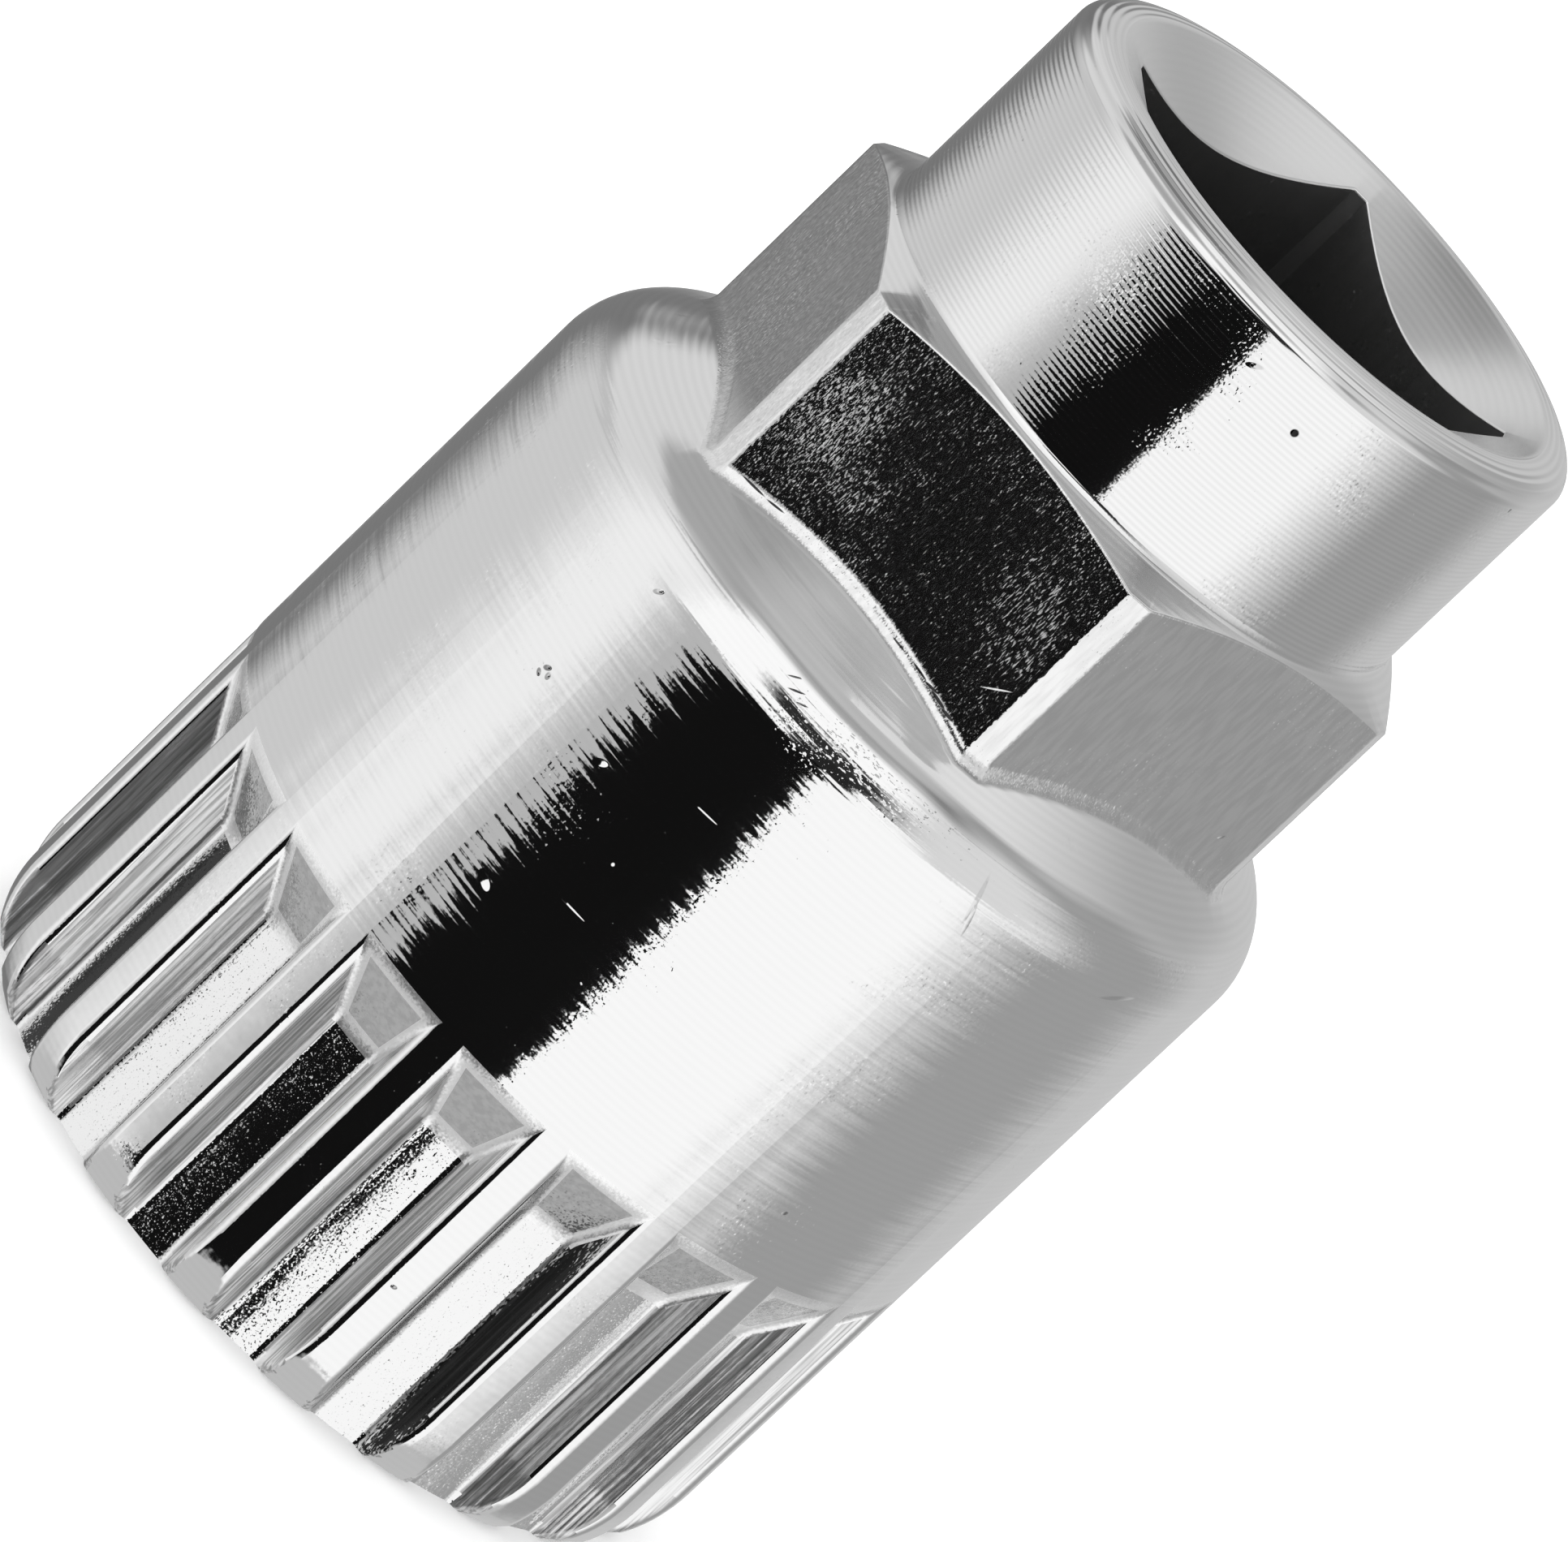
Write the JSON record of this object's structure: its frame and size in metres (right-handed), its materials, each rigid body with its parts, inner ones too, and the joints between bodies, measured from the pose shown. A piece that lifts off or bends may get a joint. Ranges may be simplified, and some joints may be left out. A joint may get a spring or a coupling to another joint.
{
  "type": "bottom bracket tool",
  "caption": "Plated steel socket with an outer splined end, a hexagon for a spanner and a square drive hole, for turning splined bottom bracket cups.",
  "frame": {"origin": "middle of the end face at the splined end, on which the tool stands", "axes": "+Z along the tool's axis towards the square drive end, +X square to one side of the square drive and one flat of the hexagon"},
  "size_m": [0.0324, 0.0324, 0.0513],
  "materials": {
    "plated_steel": "polished chrome plate over turned and milled steel"
  },
  "bodies": {
    "root": {"bottom_bracket_tool": "plated_steel"}
  },
  "joints": []
}
